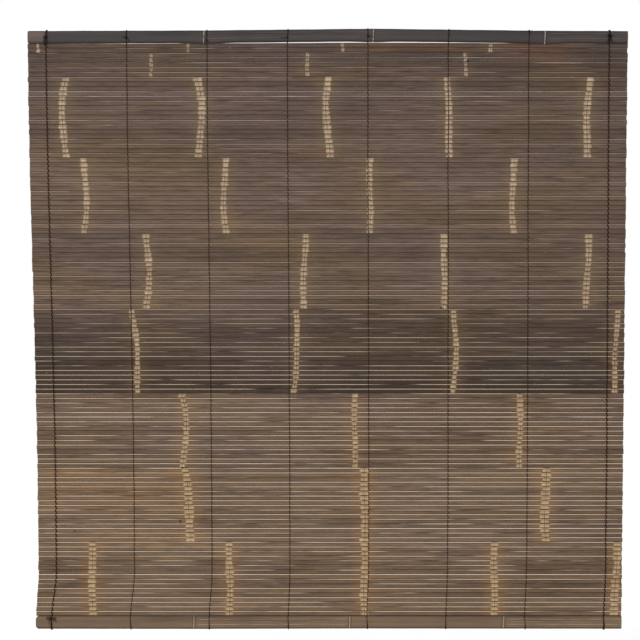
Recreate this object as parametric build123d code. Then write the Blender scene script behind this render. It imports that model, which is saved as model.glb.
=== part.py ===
from build123d import *
import math
import os

# A roll up blind of split bamboo: a head rail, many thin slats and a bottom rail, twined
# together by eight lines of cord. X runs along the slats, Y from front to back and Z up.
# The origin is the middle of the head rail's top edge. Every size is in millimetres.

# Overall
WIDTH = 1200.0  # length of the rails and of every slat
SLAT_COUNT = 122

# Slats: flat strips with eased long edges
SLAT_HEIGHT = 8.6
SLAT_THICKNESS = 1.8
SLAT_EASE = 0.25  # chamfer along the four long edges
SLAT_GAP = 0.9  # free height between two slats, where the cord crosses

# Groups of slats that move as one between two hinge lines. The top group stays flat when the
# blind is rolled up, and at the core of the roll each slat moves by itself.
GROUP_COUNT = 53
TOP_GROUP = 5  # slats in the top group
SINGLES = 9  # groups of one slat, above the bottom rail

# Rails: strips split from a thick culm, round in front and hollowed behind
CULM_RADIUS = 45.0
RAIL_WALL = 5.0
HEAD_RAIL_HEIGHT = 24.5
BOTTOM_RAIL_HEIGHT = 25.5
HEAD_RAIL_GAP = 1.5  # between the head rail's ends and the first slat
BOTTOM_RAIL_GAP = 1.6  # between the last slat and the bottom rail
NODE_SWELL = 0.6  # how far a culm's node ring stands proud
NODE_HALF_WIDTH = 4.0
# (place along X, rise above a straight line) of the culm's nodes; it kinks a little at each
HEAD_RAIL_NODES = ((-248.0, 1.2), (91.0, 4.6), (434.0, 0.6))
BOTTOM_RAIL_NODES = ((-273.0, -0.4), (45.0, 0.5), (359.0, 0.2))

# Cord lines, mirrored about the middle. Two strands side by side weave through the slats in
# opposite phase, loop over the head rail and pass under the bottom rail.
CORD_LINES = 8
EDGE_INSET = 36.5  # from the slats' ends to the outer lines
CORD_THICKNESS = 0.7
INNER_STRAND_WIDTH = 1.2
EDGE_STRAND_WIDTH = 2.2
STRAND_SPACE = 0.15  # between the two strands of a line
SLAT_CLEARANCE = 0.05  # between a strand and a slat's face
RAIL_CLEARANCE = 0.3  # between a strand and a rail

# Knots, domes that lie on the strands in front of the head rail: radius and the share of the
# rail's height at which each sits, from the left
HEAD_KNOTS = (
    (2.4, 0.62),
    (2.2, 0.60),
    (1.8, 0.80),
    (1.8, 0.66),
    (2.0, 0.62),
    (1.4, 0.55),
    (1.4, 0.40),
    (3.8, 0.52),
)
# The bow that ties the first line off on the bottom rail
BOW_KNOT_RADIUS = 3.0
BOW_KNOT_HEIGHT = 2.4
BOW_KNOT_TAPER = 30.0  # degrees
BOW_LOOP_RADIUS = 5.0
BOW_CORD = 1.2  # width and thickness of the loops' cord
BOW_DROP = 4.0  # below the bottom rail's top edge

PITCH = SLAT_HEIGHT + SLAT_GAP
FIRST_SLAT_TOP = -HEAD_RAIL_HEIGHT - HEAD_RAIL_GAP
LAST_SLAT_BOTTOM = FIRST_SLAT_TOP - (SLAT_COUNT - 1) * PITCH - SLAT_HEIGHT
BOTTOM_RAIL_TOP = LAST_SLAT_BOTTOM - BOTTOM_RAIL_GAP
CORD_SPACING = (WIDTH - 2 * EDGE_INSET) / (CORD_LINES - 1)


def culm_rise(x, nodes):
    """Height of a rail's axis above a straight line at x, kinked at the culm's nodes."""
    stations = [(-WIDTH / 2, 0.0), *nodes, (WIDTH / 2, 0.0)]
    for (x0, z0), (x1, z1) in zip(stations, stations[1:]):
        if x <= x1:
            return z0 + (z1 - z0) * (x - x0) / (x1 - x0)
    return 0.0


def culm_depths(offset, height, swell):
    """Y of the culm's outside and inside at this height above a rail's axis."""
    middle = math.sqrt((CULM_RADIUS - RAIL_WALL / 2) ** 2 - (height / 2) ** 2)
    outside = middle - math.sqrt((CULM_RADIUS + swell) ** 2 - offset**2)
    inside = middle - math.sqrt((CULM_RADIUS - RAIL_WALL) ** 2 - offset**2)
    return outside, inside


def rail_section(x, axis_z, height, swell):
    """Outline of a split culm in the plane at x: an arc in front, an arc behind, two cut edges."""
    half = height / 2
    front_edge, back_edge = culm_depths(half, height, swell)
    front_middle, back_middle = culm_depths(0.0, height, swell)
    low, high = axis_z - half, axis_z + half
    front = ThreePointArc((x, front_edge, low), (x, front_middle, axis_z), (x, front_edge, high))
    top = Line((x, front_edge, high), (x, back_edge, high))
    back = ThreePointArc((x, back_edge, high), (x, back_middle, axis_z), (x, back_edge, low))
    bottom = Line((x, back_edge, low), (x, front_edge, low))
    return Wire([front, top, back, bottom])


def rail(top_z, height, nodes):
    """A split bamboo rail: straight internodes that kink and swell a little at each node."""
    axis_z = top_z - height / 2
    stations = [(-WIDTH / 2, 0.0)]
    for x, _ in nodes:
        stations += [(x - NODE_HALF_WIDTH, 0.0), (x, NODE_SWELL), (x + NODE_HALF_WIDTH, 0.0)]
    stations.append((WIDTH / 2, 0.0))
    sections = [
        rail_section(x, axis_z + culm_rise(x, nodes), height, swell) for x, swell in stations
    ]
    return Solid.make_loft(sections, ruled=True)


def slat_top(index):
    """Z of a slat's upper edge, counted from 0 at the head rail."""
    return FIRST_SLAT_TOP - index * PITCH


def slat_groups():
    """Slats in each group from the head rail down, shared evenly, the larger groups first."""
    between = GROUP_COUNT - 1 - SINGLES
    least, spare = divmod(SLAT_COUNT - TOP_GROUP - SINGLES, between)
    return [TOP_GROUP] + [least + 1] * spare + [least] * (between - spare) + [1] * SINGLES


def slat_blank():
    """One slat with its upper edge at Z 0."""
    y, ease = SLAT_THICKNESS / 2, SLAT_EASE
    corners = [
        (-y + ease, 0),
        (y - ease, 0),
        (y, -ease),
        (y, -SLAT_HEIGHT + ease),
        (y - ease, -SLAT_HEIGHT),
        (-y + ease, -SLAT_HEIGHT),
        (-y, -SLAT_HEIGHT + ease),
        (-y, -ease),
    ]
    section = make_face(Plane.YZ * Polyline(*corners, close=True))
    return extrude(Pos(-WIDTH / 2, 0, 0) * section, WIDTH, dir=(1, 0, 0))


def ribbon(route, thickness):
    """Outline of a strand of even thickness that follows a route of (y, z) points."""
    steps = [
        ((y1 - y0) / math.hypot(y1 - y0, z1 - z0), (z1 - z0) / math.hypot(y1 - y0, z1 - z0))
        for (y0, z0), (y1, z1) in zip(route, route[1:])
    ]
    before, after = [steps[0], *steps], [*steps, steps[-1]]
    left, right = [], []
    for (y, z), (ay, az), (by, bz) in zip(route, before, after):
        mitre = thickness / 2 / (1 + ay * by + az * bz)
        dy, dz = -(az + bz) * mitre, (ay + by) * mitre
        left.append((y + dy, z + dz))
        right.append((y - dy, z - dz))
    return left + right[::-1]


def round_the_rail(top_z, height, rise, side, over):
    """Points of a strand that passes a rail on one side (-1 front, 1 back), turns over its far
    edge and comes part of the way back on the other side. over is 1 to turn over the top edge
    and -1 to turn under the bottom edge."""
    spare = RAIL_CLEARANCE + CORD_THICKNESS / 2
    front_edge, back_edge = culm_depths(height / 2, height, NODE_SWELL)
    front_middle, _ = culm_depths(0.0, height, NODE_SWELL)
    front, belly, back = front_edge - spare, front_middle - spare, back_edge + spare
    axis_z = top_z + rise - height / 2
    near, far = axis_z - over * height / 2, axis_z + over * (height / 2 + spare)
    at_front = [(front, near), (belly, axis_z - over * height / 8)]
    at_front += [(belly, axis_z + over * height / 8), (front, far)]
    at_back = [(back, near), (back, far)]
    if side < 0:
        return at_front + [(back, far), (back, axis_z)]
    return at_back + [(front, far), (belly, axis_z + over * height / 8), (belly, axis_z)]


def strand_route(x, phase):
    """Route of a strand in the plane at x: in front of every second slat and behind the others.
    phase is -1 for a strand that starts in front of the first slat and 1 for one behind it."""
    reach = SLAT_THICKNESS / 2 + SLAT_CLEARANCE + CORD_THICKNESS / 2
    rise = culm_rise(x, HEAD_RAIL_NODES)
    route = round_the_rail(0.0, HEAD_RAIL_HEIGHT, rise, phase, 1)[::-1]
    route.append((phase * reach, FIRST_SLAT_TOP))
    side = phase
    for index in range(1, SLAT_COUNT):
        crossing = slat_top(index) + SLAT_GAP / 2
        route += [(side * reach, crossing), (-side * reach, crossing)]
        side = -side
    route.append((side * reach, LAST_SLAT_BOTTOM))
    rise = culm_rise(x, BOTTOM_RAIL_NODES)
    return route + round_the_rail(BOTTOM_RAIL_TOP, BOTTOM_RAIL_HEIGHT, rise, side, -1)


def strand(x, width, phase):
    """One whole strand, width wide along X and centred on x."""
    outline = ribbon(strand_route(x, phase), CORD_THICKNESS)
    section = make_face(Plane.YZ * Polyline(*outline, close=True))
    return extrude(Pos(x - width / 2, 0, 0) * section, width, dir=(1, 0, 0)).solid()


def cord_line(x, width):
    """The two strands of a cord line, side by side and in opposite phase."""
    aside = (width + STRAND_SPACE) / 2
    return [strand(x - aside, width, -1), strand(x + aside, width, 1)]


def cord_x(line):
    """X of a cord line, counted from 0 at the left."""
    return (line - (CORD_LINES - 1) / 2) * CORD_SPACING


def strand_front(height):
    """Y of the front of a strand where it passes a rail's belly."""
    belly, _ = culm_depths(0.0, height, NODE_SWELL)
    return belly - RAIL_CLEARANCE - CORD_THICKNESS


def dome(x, y, z, radius):
    """Half a ball with its flat side against the plane at y, facing forward."""
    ball = Pos(x, y, z) * Sphere(radius)
    front_half = Pos(x, y - radius, z) * Box(4 * radius, 2 * radius, 4 * radius)
    return (ball & front_half).solid()


def head_knot(line):
    """The knot of one cord line on the head rail."""
    radius, share = HEAD_KNOTS[line]
    x = cord_x(line)
    z = culm_rise(x, HEAD_RAIL_NODES) - share * HEAD_RAIL_HEIGHT
    return dome(x, strand_front(HEAD_RAIL_HEIGHT), z, radius)


def forward_plane(x, y, z):
    """A plane that faces forward, with its own x along X and its own y along Z."""
    return Plane((x, y, z), x_dir=(1, 0, 0), z_dir=(0, -1, 0))


def bottom_bow():
    """The first line's bow: a knot with two flat loops, lying on the bottom rail's strands."""
    x, y = cord_x(0), strand_front(BOTTOM_RAIL_HEIGHT)
    z = BOTTOM_RAIL_TOP - BOW_DROP
    knot = forward_plane(x, y, z) * Circle(BOW_KNOT_RADIUS)
    bow = extrude(knot, BOW_KNOT_HEIGHT, taper=BOW_KNOT_TAPER)
    for side in (-1, 1):
        loop = Circle(BOW_LOOP_RADIUS) - Circle(BOW_LOOP_RADIUS - BOW_CORD)
        bow += extrude(forward_plane(x + side * BOW_LOOP_RADIUS, y, z) * loop, BOW_CORD)
    return bow.solid()


def write(name, solids):
    """Write one node: a solid, or a group of separate solids."""
    shape = solids[0] if len(solids) == 1 else Compound(children=solids)
    export_step(shape, f"parts/{name}.step")


def main():
    """Build every piece and write one file for each node."""
    os.makedirs("parts", exist_ok=True)
    write("head_rail", [rail(0.0, HEAD_RAIL_HEIGHT, HEAD_RAIL_NODES)])
    write("bottom_rail", [rail(BOTTOM_RAIL_TOP, BOTTOM_RAIL_HEIGHT, BOTTOM_RAIL_NODES)])

    blank = slat_blank().solid()
    index = 0
    for number, count in enumerate(slat_groups(), start=1):
        group = [Pos(0, 0, slat_top(index + k)) * blank for k in range(count)]
        write(f"slats_{number:02d}", group)
        index += count

    cords = {"edge_cords": [], "inner_cords_left": [], "inner_cords_right": []}
    for line in range(CORD_LINES):
        x = cord_x(line)
        if line in (0, CORD_LINES - 1):
            cords["edge_cords"] += cord_line(x, EDGE_STRAND_WIDTH)
        else:
            side = "left" if x < 0 else "right"
            cords[f"inner_cords_{side}"] += cord_line(x, INNER_STRAND_WIDTH)
    for name, strands in cords.items():
        write(name, strands)
    write("head_knots", [head_knot(line) for line in range(CORD_LINES)])
    write("bottom_bow", [bottom_bow()])


main()
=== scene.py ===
import logging
import math
from dataclasses import dataclass, field
from enum import Enum
from typing import Any, Callable

import bpy
import numpy as np
from mathutils import Matrix, Vector


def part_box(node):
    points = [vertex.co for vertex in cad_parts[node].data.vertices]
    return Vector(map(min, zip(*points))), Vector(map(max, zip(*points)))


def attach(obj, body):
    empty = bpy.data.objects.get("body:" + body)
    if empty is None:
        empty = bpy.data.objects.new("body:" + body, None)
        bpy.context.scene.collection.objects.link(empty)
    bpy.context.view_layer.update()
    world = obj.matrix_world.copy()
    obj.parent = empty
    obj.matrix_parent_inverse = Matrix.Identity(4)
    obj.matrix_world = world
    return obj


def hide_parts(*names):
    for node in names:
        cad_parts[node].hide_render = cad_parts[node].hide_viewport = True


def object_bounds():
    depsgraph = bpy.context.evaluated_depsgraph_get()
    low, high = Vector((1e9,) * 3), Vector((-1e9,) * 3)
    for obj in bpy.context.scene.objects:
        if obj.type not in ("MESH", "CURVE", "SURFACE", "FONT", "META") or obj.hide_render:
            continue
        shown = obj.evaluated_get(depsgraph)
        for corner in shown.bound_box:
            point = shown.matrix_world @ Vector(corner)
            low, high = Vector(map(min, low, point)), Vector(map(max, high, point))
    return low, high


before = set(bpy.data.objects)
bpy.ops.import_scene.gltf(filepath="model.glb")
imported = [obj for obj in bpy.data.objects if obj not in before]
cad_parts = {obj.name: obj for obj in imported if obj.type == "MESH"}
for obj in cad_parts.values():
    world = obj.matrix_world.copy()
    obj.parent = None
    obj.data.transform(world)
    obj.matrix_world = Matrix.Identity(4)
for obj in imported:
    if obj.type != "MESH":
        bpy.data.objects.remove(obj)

# A bamboo roll up blind: a head rail and a bottom rail split from thick culms, the woven slats between
# them, and the cords that hold them. All of it is built round the CAD frame, in metres.

CAD_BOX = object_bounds()
LOG = logging.getLogger("bamboo_blind")
MM = 0.001

Point = tuple[float, float, float]
Colour = tuple[float, float, float, float]
WHITE: Colour = (1.0, 1.0, 1.0, 1.0)


def linear(red: int, green: int, blue: int) -> Colour:
    """A display colour of 0 to 255 a channel as the linear colour that shaders take."""

    def channel(value: float) -> float:
        """One channel, by the display curve."""
        share = value / 255
        return share / 12.92 if share <= 0.04045 else ((share + 0.055) / 1.055) ** 2.4

    return (channel(red), channel(green), channel(blue), 1.0)


# ---------------------------------------------------------------------------------------------
# Node trees
# ---------------------------------------------------------------------------------------------


def operator(operation: str, swapped: bool = False) -> Callable[["Value", Any], "Value"]:
    """A method of Value for one Python operator.

    Args:
        operation: The Math node's operation.
        swapped: Whether the other term comes first, as in 1 - value.

    Returns:
        The method.
    """

    def method(self: "Value", other: Any) -> "Value":
        """The sum of the value and the other term."""
        terms = (other, self) if swapped else (self, other)
        return self.tree.maths(operation, *terms)

    return method


class Value:
    """A socket of a node tree that takes part in sums written as Python expressions."""

    __add__, __radd__ = operator("ADD"), operator("ADD", True)
    __sub__, __rsub__ = operator("SUBTRACT"), operator("SUBTRACT", True)
    __mul__, __rmul__ = operator("MULTIPLY"), operator("MULTIPLY", True)
    __truediv__, __pow__ = operator("DIVIDE"), operator("POWER")

    def __init__(self, tree: "Tree", socket: bpy.types.NodeSocket) -> None:
        """Wraps a socket.

        Args:
            tree: The tree that the socket's node is in.
            socket: The output socket.
        """
        self.tree = tree
        self.socket = socket

    def __neg__(self) -> "Value":
        """-self"""
        return self * -1.0

    def __abs__(self) -> "Value":
        """abs(self)"""
        return self.tree.maths("ABSOLUTE", self)


class Tree:
    """Adds nodes to a shader tree or a Geometry Nodes tree."""

    def __init__(self, tree: bpy.types.NodeTree) -> None:
        """Starts on an empty tree.

        Args:
            tree: The node tree to fill.
        """
        self.tree = tree
        tree.nodes.clear()

    def add(
        self, kind: str, settings: dict[str, Any] | None = None, sockets: dict[Any, Any] | None = None
    ) -> bpy.types.Node:
        """Adds one node, sets it up and feeds its sockets.

        Args:
            kind: The node's type.
            settings: Properties of the node, set first. "stops" gives a ramp's stops.
            sockets: Value or link for each input, by name or by number.

        Returns:
            The new node.
        """
        node = self.tree.nodes.new(kind)
        for name, value in (settings or {}).items():
            if name == "stops":
                ramp = node.color_ramp
                while len(ramp.elements) < len(value):
                    ramp.elements.new(1.0)
                for element, (place, colour) in zip(ramp.elements, value):
                    element.position = place
                    element.color = colour
            else:
                setattr(node, name, value)
        for name, value in (sockets or {}).items():
            target = node.inputs[name]
            if isinstance(value, Value):
                self.tree.links.new(value.socket, target)
            elif isinstance(value, bpy.types.NodeSocket):
                self.tree.links.new(value, target)
            else:
                target.default_value = value
        return node

    def maths(self, operation: str, *terms: Any, clamp: bool = False) -> Value:
        """One sum on numbers.

        Args:
            operation: The Math node's operation.
            terms: Its one, two or three terms.
            clamp: Whether the result is kept between 0 and 1.

        Returns:
            The result.
        """
        settings = {"operation": operation, "use_clamp": clamp}
        node = self.add("ShaderNodeMath", settings, dict(enumerate(terms)))
        return Value(self, node.outputs[0])

    def least(self, *terms: Any) -> Value:
        """The least of several numbers."""
        result = terms[0]
        for term in terms[1:]:
            result = self.maths("MINIMUM", result, term)
        return result

    def clamped(self, value: Value) -> Value:
        """A number kept between 0 and 1."""
        return self.maths("ADD", value, 0.0, clamp=True)

    def ease(self, value: Any, low: float, high: float, start: float = 0.0, end: float = 1.0) -> Value:
        """A soft step.

        Args:
            value: The number that drives the step.
            low: Where the step starts.
            high: Where it ends.
            start: The result up to low.
            end: The result from high on.

        Returns:
            The stepped number.
        """
        settings = {"interpolation_type": "SMOOTHSTEP"}
        sockets = {0: value, 1: low, 2: high, 3: start, 4: end}
        return Value(self, self.add("ShaderNodeMapRange", settings, sockets).outputs[0])

    def ridge(self, value: Value, middle: float, reach: float) -> Value:
        """1 where value is at middle, falling to 0 at reach away from it."""
        return self.ease(abs(value - middle), 0.0, reach, 1.0, 0.0)

    def vector(self, x: Any, y: Any, z: Any) -> Value:
        """Three numbers as a vector."""
        return Value(self, self.add("ShaderNodeCombineXYZ", None, {0: x, 1: y, 2: z}).outputs[0])

    def parts(self, vector: Any) -> tuple[Value, Value, Value]:
        """The three numbers of a vector."""
        node = self.add("ShaderNodeSeparateXYZ", None, {0: vector})
        return Value(self, node.outputs[0]), Value(self, node.outputs[1]), Value(self, node.outputs[2])

    def noise(self, place: Value, detail: float = 2.0, roughness: float = 0.5) -> Value:
        """Smooth noise of about 0.2 to 0.8, with features one unit of place across."""
        sockets = {"Vector": place, "Scale": 1.0, "Detail": detail, "Roughness": roughness}
        return Value(self, self.add("ShaderNodeTexNoise", None, sockets).outputs[0])

    def mix(self, share: Any, first: Any, second: Any, blend: str = "MIX") -> Value:
        """Two colours mixed.

        Args:
            share: How much of the second colour there is.
            first: The first colour.
            second: The second colour.
            blend: How they mix.

        Returns:
            The mixed colour.
        """
        settings = {"data_type": "RGBA", "blend_type": blend}
        node = self.add("ShaderNodeMix", settings, {0: share, 6: first, 7: second})
        return Value(self, node.outputs[2])

    def shade(self, colour: Any, factor: Value) -> Value:
        """A colour made lighter or darker by a factor."""
        return self.mix(1.0, colour, self.vector(factor, factor, factor), "MULTIPLY")


class Shader(Tree):
    """The tree of one material."""

    def __init__(self, name: str) -> None:
        """Makes the material and reads its place on the piece.

        Args:
            name: The material's name.
        """
        self.material = bpy.data.materials.new(name)
        self.material.use_nodes = True
        super().__init__(self.material.node_tree)
        place = self.add("ShaderNodeTexCoord").outputs["Object"]
        self.x, self.y, self.z = self.parts(place)

    def number(self, name: str) -> Value:
        """A number stored on the piece's points."""
        node = self.add("ShaderNodeAttribute", {"attribute_name": name})
        return Value(self, node.outputs["Fac"])

    def numbers(self, name: str) -> tuple[Value, Value, Value]:
        """Three numbers stored on the piece's points."""
        node = self.add("ShaderNodeAttribute", {"attribute_name": name})
        return self.parts(node.outputs["Vector"])

    def finish(
        self, colour: Value, roughness: Any, height: Value, depth: float, **steady: float
    ) -> bpy.types.Material:
        """Ends the tree in one Principled surface.

        Args:
            colour: Its colour.
            roughness: Its roughness.
            height: The relief, 0 to 1.
            depth: How deep the relief is, in metres.
            steady: Values of the surface's other sockets, by name with _ for a space.

        Returns:
            The finished material.
        """
        bump = self.add("ShaderNodeBump", None, {"Strength": 1.0, "Distance": depth, "Height": height})
        sockets = {"Base Color": colour, "Roughness": roughness, "Normal": bump.outputs[0]}
        sockets |= {name.replace("_", " "): value for name, value in steady.items()}
        surface = self.add("ShaderNodeBsdfPrincipled", None, sockets)
        self.add("ShaderNodeOutputMaterial", None, {"Surface": surface.outputs[0]})
        return self.material


class Recipe(Tree):
    """A Geometry Nodes tree with named inputs that makes plain meshes."""

    def __init__(self, name: str, inputs: dict[str, str]) -> None:
        """Makes the empty tree.

        Args:
            name: The tree's name.
            inputs: Socket type of each input, such as "Float", by name.
        """
        group = bpy.data.node_groups.new(name, "GeometryNodeTree")
        super().__init__(group)
        group.interface.new_socket("Geometry", in_out="OUTPUT", socket_type="NodeSocketGeometry")
        self.identifiers: dict[str, str] = {}
        for label, kind in inputs.items():
            socket = group.interface.new_socket(label, in_out="INPUT", socket_type=f"NodeSocket{kind}")
            self.identifiers[label] = socket.identifier
        self.source = self.add("NodeGroupInput")

    def given(self, label: str) -> Value:
        """The value of one of the tree's inputs."""
        return Value(self, self.source.outputs[label])

    def place(self) -> tuple[Value, Value, Value]:
        """Where each point is."""
        return self.parts(self.add("GeometryNodeInputPosition").outputs[0])

    def index(self) -> Value:
        """Each point's number."""
        return Value(self, self.add("GeometryNodeInputIndex").outputs[0])

    def row(self, count: Any, start: Value, step: Value) -> bpy.types.NodeSocket:
        """A row of points."""
        sockets = {"Count": count, "Start Location": start, "Offset": step}
        return self.add("GeometryNodeMeshLine", None, sockets).outputs[0]

    def keep(self, geometry: Any, name: str, value: Any, kind: str = "FLOAT") -> bpy.types.NodeSocket:
        """Stores a value on the points under a name.

        Args:
            geometry: What it is stored on.
            name: The name.
            value: The value, a field.
            kind: FLOAT or FLOAT_VECTOR.

        Returns:
            The geometry with the value on it.
        """
        settings = {"data_type": kind, "domain": "POINT"}
        sockets = {"Geometry": geometry, "Name": name, "Value": value}
        return self.add("GeometryNodeStoreNamedAttribute", settings, sockets).outputs[0]

    def stored(self, name: str) -> Value:
        """A number stored on the points."""
        node = self.add("GeometryNodeInputNamedAttribute", {"data_type": "FLOAT"}, {"Name": name})
        return Value(self, node.outputs[0])

    def move(self, geometry: Any, offset: Value) -> bpy.types.NodeSocket:
        """Moves each point by an offset."""
        sockets = {"Geometry": geometry, "Offset": offset}
        return self.add("GeometryNodeSetPosition", None, sockets).outputs[0]

    def put(self, geometry: Any, place: Value) -> bpy.types.NodeSocket:
        """Puts each point at a place."""
        sockets = {"Geometry": geometry, "Position": place}
        return self.add("GeometryNodeSetPosition", None, sockets).outputs[0]

    def at_points(self, points: Any, shape: Any, scale: Any = None) -> bpy.types.NodeSocket:
        """A copy of a shape at each point, made real."""
        sockets = {"Points": points, "Instance": shape}
        if scale is not None:
            sockets["Scale"] = scale
        node = self.add("GeometryNodeInstanceOnPoints", None, sockets)
        return self.add("GeometryNodeRealizeInstances", None, {0: node.outputs[0]}).outputs[0]

    def random(self, low: float, high: float, index: Any, seed: Any) -> Value:
        """A number picked at random for each index."""
        sockets = {2: low, 3: high, "ID": index, "Seed": seed}
        node = self.add("FunctionNodeRandomValue", {"data_type": "FLOAT"}, sockets)
        return Value(self, node.outputs[1])

    def close(self, geometry: Any) -> None:
        """Ends the tree in Realize Instances and Set Material."""
        real = self.add("GeometryNodeRealizeInstances", None, {0: geometry}).outputs[0]
        smooth = self.add("GeometryNodeSetShadeSmooth", None, {"Geometry": real}).outputs[0]
        sockets = {"Geometry": smooth, "Material": self.given("Finish")}
        dressed = self.add("GeometryNodeSetMaterial", None, sockets).outputs[0]
        self.add("NodeGroupOutput", None, {0: dressed})

    def make(self, name: str, values: dict[str, Any]) -> bpy.types.Object:
        """Runs the tree and turns what it makes into a plain mesh object.

        Args:
            name: The new object's name.
            values: Value of each input, by name.

        Returns:
            The object, at the origin and with no modifier.
        """
        scratch = bpy.data.objects.new("scratch", bpy.data.meshes.new("scratch"))
        bpy.context.scene.collection.objects.link(scratch)
        modifier = scratch.modifiers.new("make", "NODES")
        modifier.node_group = self.tree
        for label, value in values.items():
            modifier[self.identifiers[label]] = value
        graph = bpy.context.evaluated_depsgraph_get()
        evaluated = scratch.evaluated_get(graph)
        mesh = bpy.data.meshes.new_from_object(evaluated, preserve_all_data_layers=True, depsgraph=graph)
        scratch.modifiers.clear()
        bpy.data.objects.remove(scratch)
        mesh.name = name
        return linked(name, mesh)


def linked(name: str, mesh: bpy.types.Mesh) -> bpy.types.Object:
    """An object for a mesh, in the scene."""
    piece = bpy.data.objects.new(name, mesh)
    bpy.context.scene.collection.objects.link(piece)
    return piece


def slat_nodes() -> list[str]:
    """The CAD nodes of the slats, from the top."""
    return sorted(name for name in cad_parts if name.startswith("slats_"))


def store(mesh: bpy.types.Mesh, name: str, values: np.ndarray) -> None:
    """Stores a number or three numbers on each point of a mesh.

    Args:
        mesh: The mesh.
        name: The name they are stored under.
        values: One row for each point.
    """
    wide = values.ndim == 2
    layer = mesh.attributes.new(name, "FLOAT_VECTOR" if wide else "FLOAT", "POINT")
    layer.data.foreach_set("vector" if wide else "value", values.astype(np.float32).ravel())


def points_of(mesh: bpy.types.Mesh) -> np.ndarray:
    """The places of a mesh's points, one row each."""
    flat = np.zeros(len(mesh.vertices) * 3, np.float32)
    mesh.vertices.foreach_get("co", flat)
    return flat.reshape(-1, 3).astype(float)


def numbers_of(mesh: bpy.types.Mesh, name: str) -> np.ndarray:
    """The number stored on each point of a mesh."""
    flat = np.zeros(len(mesh.vertices), np.float32)
    mesh.attributes[name].data.foreach_get("value", flat)
    return flat.astype(float)


# ---------------------------------------------------------------------------------------------
# Bamboo: which culm each slat is split from, and how it is stained
# ---------------------------------------------------------------------------------------------


@dataclass(frozen=True)
class Joint:
    """One of a culm's joints, which runs down through the slats split from it.

    Attributes:
        x: Its place along X on the run's top slat, in millimetres.
        lean: How much further right it is on the run's bottom slat.
        bow: How far it bows to the right half way down.
    """

    x: float
    lean: float = 0.0
    bow: float = 0.0

    def at(self, share: float) -> float:
        """Its place along X, from how far down the run a slat is, 0 to 1."""
        return self.x + self.lean * share + self.bow * 4 * share * (1 - share)


@dataclass(frozen=True)
class Culm:
    """A run of neighbouring slats split from one bamboo culm, so that its joints line up.

    Attributes:
        first: The run's first slat, counted from 0 at the head rail.
        tone: How light the stain came out, 1 being the average.
        warmth: How yellow it came out, 0 to 1.
        patch: Half-width of the pale patch at a joint, in millimetres.
        joints: Its joints, from the left.
        fall: How much darker the run gets from its top slat to its bottom one.
    """

    first: int
    tone: float
    warmth: float
    patch: float
    joints: tuple[Joint, ...]
    fall: float = 0.0


@dataclass(frozen=True)
class Streak:
    """A stretch of a few slats where the stain is thin and the warm bamboo shows.

    Attributes:
        slats: The first and last slat.
        span: Where it starts and ends along X, in millimetres.
        strength: How much of the bamboo shows, 0 to 1.
    """

    slats: tuple[int, int]
    span: tuple[int, int]
    strength: float


CULMS = (
    Culm(0, 0.66, 0.0, 2.6, (Joint(-580), Joint(-280), Joint(30), Joint(325))),
    Culm(2, 0.68, 0.0, 2.8, (Joint(-355), Joint(-40), Joint(275))),
    Culm(
        7, 0.80, 0.04, 6.8,
        (Joint(-525, 0, -8), Joint(-260, 0, 7), Joint(0, 5, -5), Joint(240, 5), Joint(525, -5, -2)),
    ),
    Culm(24, 1.02, 0.06, 5.6, (Joint(-490, 0, 4), Joint(-205, 0, -4), Joint(85), Joint(375, 0, -4))),
    Culm(40, 0.88, 0.10, 5.8, (Joint(-365, 0, 4), Joint(-45, -5), Joint(235), Joint(525, -5, 2))),
    Culm(
        56, 0.50, 0.0, 5.0,
        (Joint(-395, 10, 4), Joint(-65, -5, 6), Joint(255, 0, 4), Joint(585, -5)),
        fall=0.4,
    ),
    Culm(74, 0.95, 0.10, 5.4, (Joint(-295, 0, 8), Joint(55), Joint(390))),
    Culm(90, 1.08, 0.15, 8.2, (Joint(-290, 10, 3), Joint(75), Joint(445, 0, -3))),
    Culm(106, 1.08, 0.16, 7.0, (Joint(-480), Joint(-200), Joint(75), Joint(340), Joint(590, -5))),
)

STREAKS = (
    Streak((0, 3), (330, 500), 0.75),
    Streak((0, 1), (60, 330), 0.6),
    Streak((22, 23), (-95, 30), 0.65),
    Streak((22, 23), (245, 400), 0.4),
    Streak((41, 43), (-155, -55), 0.4),
    Streak((90, 99), (-600, -290), 0.42),
    Streak((104, 106), (-480, -250), 0.4),
    Streak((12, 13), (-420, -300), 0.3),
    Streak((64, 65), (300, 420), 0.3),
    Streak((81, 82), (420, 560), 0.35),
)

# Dark beetle holes and scars: X, Z and radius, in millimetres
SCARS = ((280, -60, 2.4), (230, -555, 2.2), (-295, -880, 2.0), (-300, -990, 2.2), (-515, -1010, 1.5))


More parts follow.
